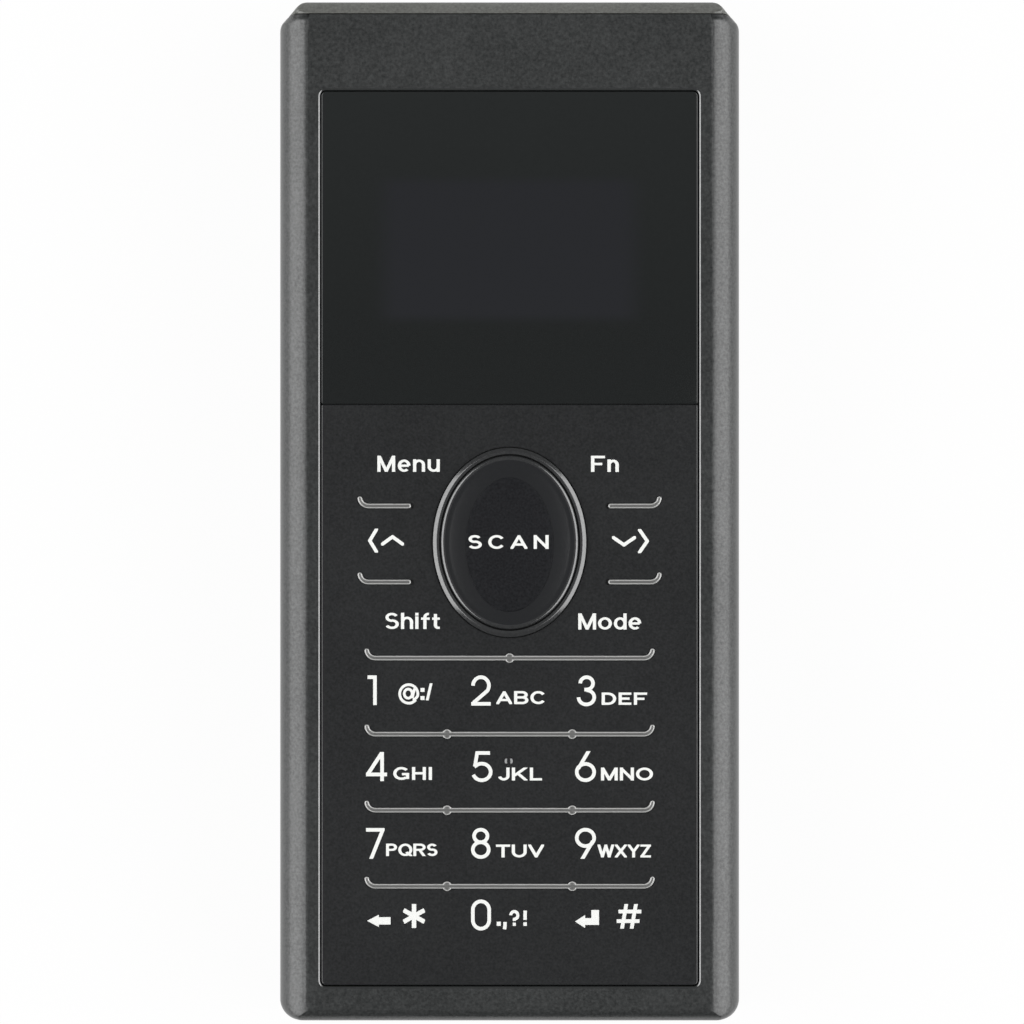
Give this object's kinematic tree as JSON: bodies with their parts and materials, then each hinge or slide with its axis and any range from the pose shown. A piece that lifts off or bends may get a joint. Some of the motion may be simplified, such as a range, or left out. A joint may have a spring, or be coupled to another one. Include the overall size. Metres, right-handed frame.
{
  "type": "handheld barcode reader",
  "caption": "Pocket barcode reader with a display lens, a flush keypad, a raised oval scan key, a scan window in its end cap and a sliding battery door.",
  "frame": {"origin": "under the middle of the housing, on the surface that its back lies on", "axes": "+X across the keypad to the right, +Y along the housing towards the scan window, +Z out of the keypad"},
  "size_m": [0.05, 0.1106, 0.0236],
  "materials": {
    "front_plastic": "satin, fine moulded grain",
    "rear_plastic": "satin, fine moulded grain",
    "cap_plastic": "satin",
    "window_acrylic": "polished dark red acrylic",
    "black_rubber": "matt",
    "lens_acrylic": "polished, printed black behind",
    "adhesive_foam": "matt",
    "panel_plastic": "matt",
    "sheet_elastomer": "matt, soft",
    "ridge_plastic": "satin",
    "ring_plastic": "satin gloss",
    "scan_key_plastic": "satin gloss",
    "inlay_plastic": "matt",
    "polyester_film": "clear film",
    "spring_steel": "bright",
    "circuit_board": "solder mask",
    "chip_epoxy": "matt",
    "display_glass": "polished",
    "white_plastic": "matt",
    "engine_metal": "die cast",
    "engine_lens": "coated",
    "inner_plastic": "matt",
    "flex_film": "polyimide",
    "tinned_steel": "tinned",
    "battery_case": "shrink wrapped",
    "gold_contact": "gold plated",
    "black_screw": "black zinc",
    "brass": "knurled",
    "key_plastic": "matt"
  },
  "bodies": {
    "root": {"front_shell": "front_plastic", "rear_shell": "rear_plastic", "scan_head_cap": "cap_plastic", "scan_window": "window_acrylic", "window_gasket": "black_rubber", "display_lens": "lens_acrylic", "adhesive_frame": "adhesive_foam", "keypad_panel": "panel_plastic", "keypad_sheet": "sheet_elastomer", "key_ridges": "ridge_plastic", "scan_key_ring": "ring_plastic", "dome_sheet": "polyester_film", "metal_domes": "spring_steel", "main_board": "circuit_board", "board_chips": "chip_epoxy", "display_glass": "display_glass", "display_frame": "white_plastic", "scan_engine": "engine_metal", "scan_engine_lens": "engine_lens", "engine_cradle": "inner_plastic", "engine_flex": "flex_film", "beeper": "chip_epoxy", "radio_module": "circuit_board", "radio_shield": "tinned_steel", "data_socket": "tinned_steel", "battery": "battery_case", "battery_contacts": "gold_contact", "case_screws": "black_screw", "screw_inserts": "brass", "board_screws": "tinned_steel"},
    "battery_door": {"battery_door": "rear_plastic"},
    "key_scan": {"key_scan": "scan_key_plastic", "scan_key_inlay": "inlay_plastic"},
    "key_star": {"key_star": "key_plastic"},
    "key_0": {"key_0": "key_plastic"},
    "key_hash": {"key_hash": "key_plastic"},
    "key_7": {"key_7": "key_plastic"},
    "key_8": {"key_8": "key_plastic"},
    "key_9": {"key_9": "key_plastic"},
    "key_4": {"key_4": "key_plastic"},
    "key_5": {"key_5": "key_plastic"},
    "key_6": {"key_6": "key_plastic"},
    "key_1": {"key_1": "key_plastic"},
    "key_2": {"key_2": "key_plastic"},
    "key_3": {"key_3": "key_plastic"},
    "key_shift": {"key_shift": "key_plastic"},
    "key_mode": {"key_mode": "key_plastic"},
    "key_left": {"key_left": "key_plastic"},
    "key_right": {"key_right": "key_plastic"},
    "key_menu": {"key_menu": "key_plastic"},
    "key_function": {"key_function": "key_plastic"}
  },
  "joints": [
    {"name": "key_scan_press", "type": "slide", "parent": "root", "child": "key_scan", "axis": [0, 0, -1], "range_m": [0, 0.0003], "stiffness_N_per_m": 300, "springref_m": -0.001},
    {"name": "key_shift_press", "type": "slide", "parent": "root", "child": "key_shift", "axis": [0, 0, -1], "range_m": [0, 0.0003], "stiffness_N_per_m": 300, "springref_m": -0.001},
    {"name": "key_mode_press", "type": "slide", "parent": "root", "child": "key_mode", "axis": [0, 0, -1], "range_m": [0, 0.0003], "stiffness_N_per_m": 300, "springref_m": -0.001},
    {"name": "key_left_press", "type": "slide", "parent": "root", "child": "key_left", "axis": [0, 0, -1], "range_m": [0, 0.0003], "stiffness_N_per_m": 300, "springref_m": -0.001},
    {"name": "key_right_press", "type": "slide", "parent": "root", "child": "key_right", "axis": [0, 0, -1], "range_m": [0, 0.0003], "stiffness_N_per_m": 300, "springref_m": -0.001},
    {"name": "key_menu_press", "type": "slide", "parent": "root", "child": "key_menu", "axis": [0, 0, -1], "range_m": [0, 0.0003], "stiffness_N_per_m": 300, "springref_m": -0.001},
    {"name": "key_function_press", "type": "slide", "parent": "root", "child": "key_function", "axis": [0, 0, -1], "range_m": [0, 0.0003], "stiffness_N_per_m": 300, "springref_m": -0.001},
    {"name": "key_star_press", "type": "slide", "parent": "root", "child": "key_star", "axis": [0, 0, -1], "range_m": [0, 0.0003], "stiffness_N_per_m": 300, "springref_m": -0.001},
    {"name": "key_0_press", "type": "slide", "parent": "root", "child": "key_0", "axis": [0, 0, -1], "range_m": [0, 0.0003], "stiffness_N_per_m": 300, "springref_m": -0.001},
    {"name": "key_hash_press", "type": "slide", "parent": "root", "child": "key_hash", "axis": [0, 0, -1], "range_m": [0, 0.0003], "stiffness_N_per_m": 300, "springref_m": -0.001},
    {"name": "key_7_press", "type": "slide", "parent": "root", "child": "key_7", "axis": [0, 0, -1], "range_m": [0, 0.0003], "stiffness_N_per_m": 300, "springref_m": -0.001},
    {"name": "key_8_press", "type": "slide", "parent": "root", "child": "key_8", "axis": [0, 0, -1], "range_m": [0, 0.0003], "stiffness_N_per_m": 300, "springref_m": -0.001},
    {"name": "key_9_press", "type": "slide", "parent": "root", "child": "key_9", "axis": [0, 0, -1], "range_m": [0, 0.0003], "stiffness_N_per_m": 300, "springref_m": -0.001},
    {"name": "key_4_press", "type": "slide", "parent": "root", "child": "key_4", "axis": [0, 0, -1], "range_m": [0, 0.0003], "stiffness_N_per_m": 300, "springref_m": -0.001},
    {"name": "key_5_press", "type": "slide", "parent": "root", "child": "key_5", "axis": [0, 0, -1], "range_m": [0, 0.0003], "stiffness_N_per_m": 300, "springref_m": -0.001},
    {"name": "key_6_press", "type": "slide", "parent": "root", "child": "key_6", "axis": [0, 0, -1], "range_m": [0, 0.0003], "stiffness_N_per_m": 300, "springref_m": -0.001},
    {"name": "key_1_press", "type": "slide", "parent": "root", "child": "key_1", "axis": [0, 0, -1], "range_m": [0, 0.0003], "stiffness_N_per_m": 300, "springref_m": -0.001},
    {"name": "key_2_press", "type": "slide", "parent": "root", "child": "key_2", "axis": [0, 0, -1], "range_m": [0, 0.0003], "stiffness_N_per_m": 300, "springref_m": -0.001},
    {"name": "key_3_press", "type": "slide", "parent": "root", "child": "key_3", "axis": [0, 0, -1], "range_m": [0, 0.0003], "stiffness_N_per_m": 300, "springref_m": -0.001},
    {"name": "battery_door_slide", "type": "slide", "parent": "root", "child": "battery_door", "axis": [0, -1, 0], "range_m": [0, 0.006]}
  ]
}
